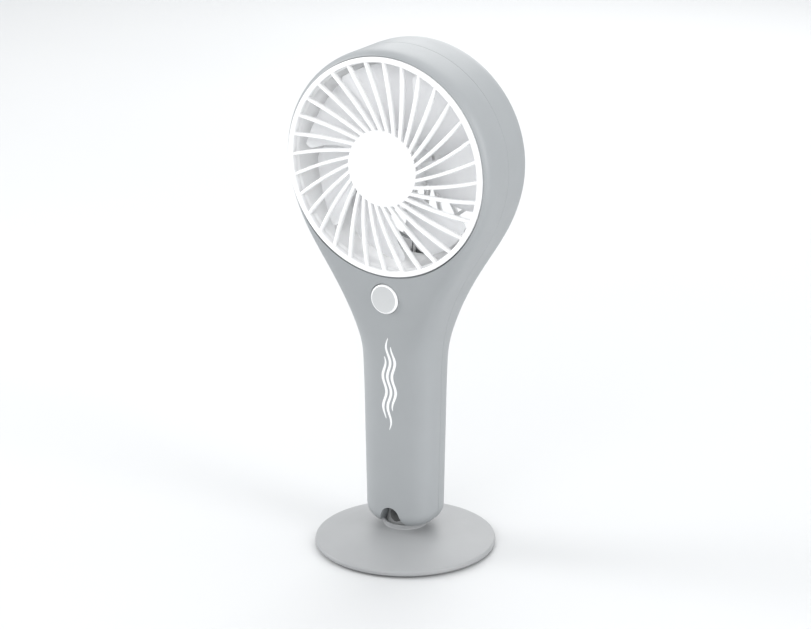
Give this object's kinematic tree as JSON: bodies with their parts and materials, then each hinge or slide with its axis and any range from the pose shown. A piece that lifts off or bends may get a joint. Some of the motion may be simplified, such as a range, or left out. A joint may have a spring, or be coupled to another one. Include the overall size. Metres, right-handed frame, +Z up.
{
  "type": "handheld fan with stand",
  "caption": "Handheld battery fan with a round swirl-ribbed grille on a tapered handle, standing on a round disc stand that it lifts off.",
  "frame": {"origin": "on the surface the stand rests on, under the middle of the stand", "axes": "+Z up along the handle, the grille and the power button face -Y, +X to the right seen from the front"},
  "size_m": [0.1, 0.08, 0.227],
  "materials": {
    "grey_shell": "satin moulded ABS, fine grain",
    "white_grille": "smooth white ABS",
    "white_blade": "smooth off-white ABS",
    "button_cap": "light grey gloss cap with a white edge",
    "dark_plastic": "dark grey matte plastic",
    "stand_grey": "satin moulded ABS",
    "rubber": "matte rubber",
    "screw_steel": "zinc plated steel",
    "motor_steel": "drawn plated steel",
    "magnet": "sintered ferrite",
    "bronze": "sintered bronze",
    "winding": "enamelled copper on steel",
    "board_green": "solder mask",
    "spring_steel": "nickel plated spring steel",
    "cell_sleeve": "printed foil sleeve",
    "wire_white": "PVC insulation",
    "wire_black": "PVC insulation",
    "foam": "closed-cell foam"
  },
  "bodies": {
    "stand": {"stand_base": "stand_grey", "stand_spigot": "dark_plastic", "stand_weight": "motor_steel", "stand_cover": "stand_grey", "stand_feet": "rubber", "spigot_screw": "screw_steel", "cover_screws": "screw_steel"},
    "fan": {"front_shell": "grey_shell", "rear_shell": "grey_shell", "front_grille": "white_grille", "rear_grille": "white_grille", "duct_liner": "white_grille", "lanyard_anchor": "dark_plastic", "motor_can": "motor_steel", "motor_end_cap": "dark_plastic", "motor_magnets": "magnet", "motor_bushes": "bronze", "motor_terminals": "bronze", "motor_cup": "white_grille", "motor_screws": "screw_steel", "motor_wires": "wire_white", "circuit_board": "board_green", "board_chips": "dark_plastic", "tact_switch": "dark_plastic", "usb_socket": "motor_steel", "battery_tray": "grey_shell", "battery_cells": "cell_sleeve", "contact_springs": "spring_steel", "contact_plates": "spring_steel", "battery_wires": "wire_black", "shell_screws": "screw_steel"},
    "impeller": {"impeller": "white_blade", "motor_shaft": "screw_steel", "armature": "winding", "commutator": "winding"},
    "button": {"power_button": "button_cap"},
    "battery_door": {"battery_door": "grey_shell", "cell_pad": "foam"}
  },
  "joints": [
    {"name": "fan_lift", "type": "slide", "parent": "stand", "child": "fan", "axis": [0, 0, 1], "range_m": [0, 0.03]},
    {"name": "impeller_spin", "type": "hinge", "parent": "fan", "child": "impeller", "pos_m": [0, 0, 0.177], "axis": [0, -1, 0], "continuous": true},
    {"name": "button_press", "type": "slide", "parent": "fan", "child": "button", "axis": [0, 1, 0], "range_m": [0, 0.0006], "stiffness_N_per_m": 1500},
    {"name": "battery_door_hinge", "type": "hinge", "parent": "fan", "child": "battery_door", "pos_m": [0, 0.0135, 0.0272], "axis": [-1, 0, 0], "range_deg": [0, 75]}
  ]
}
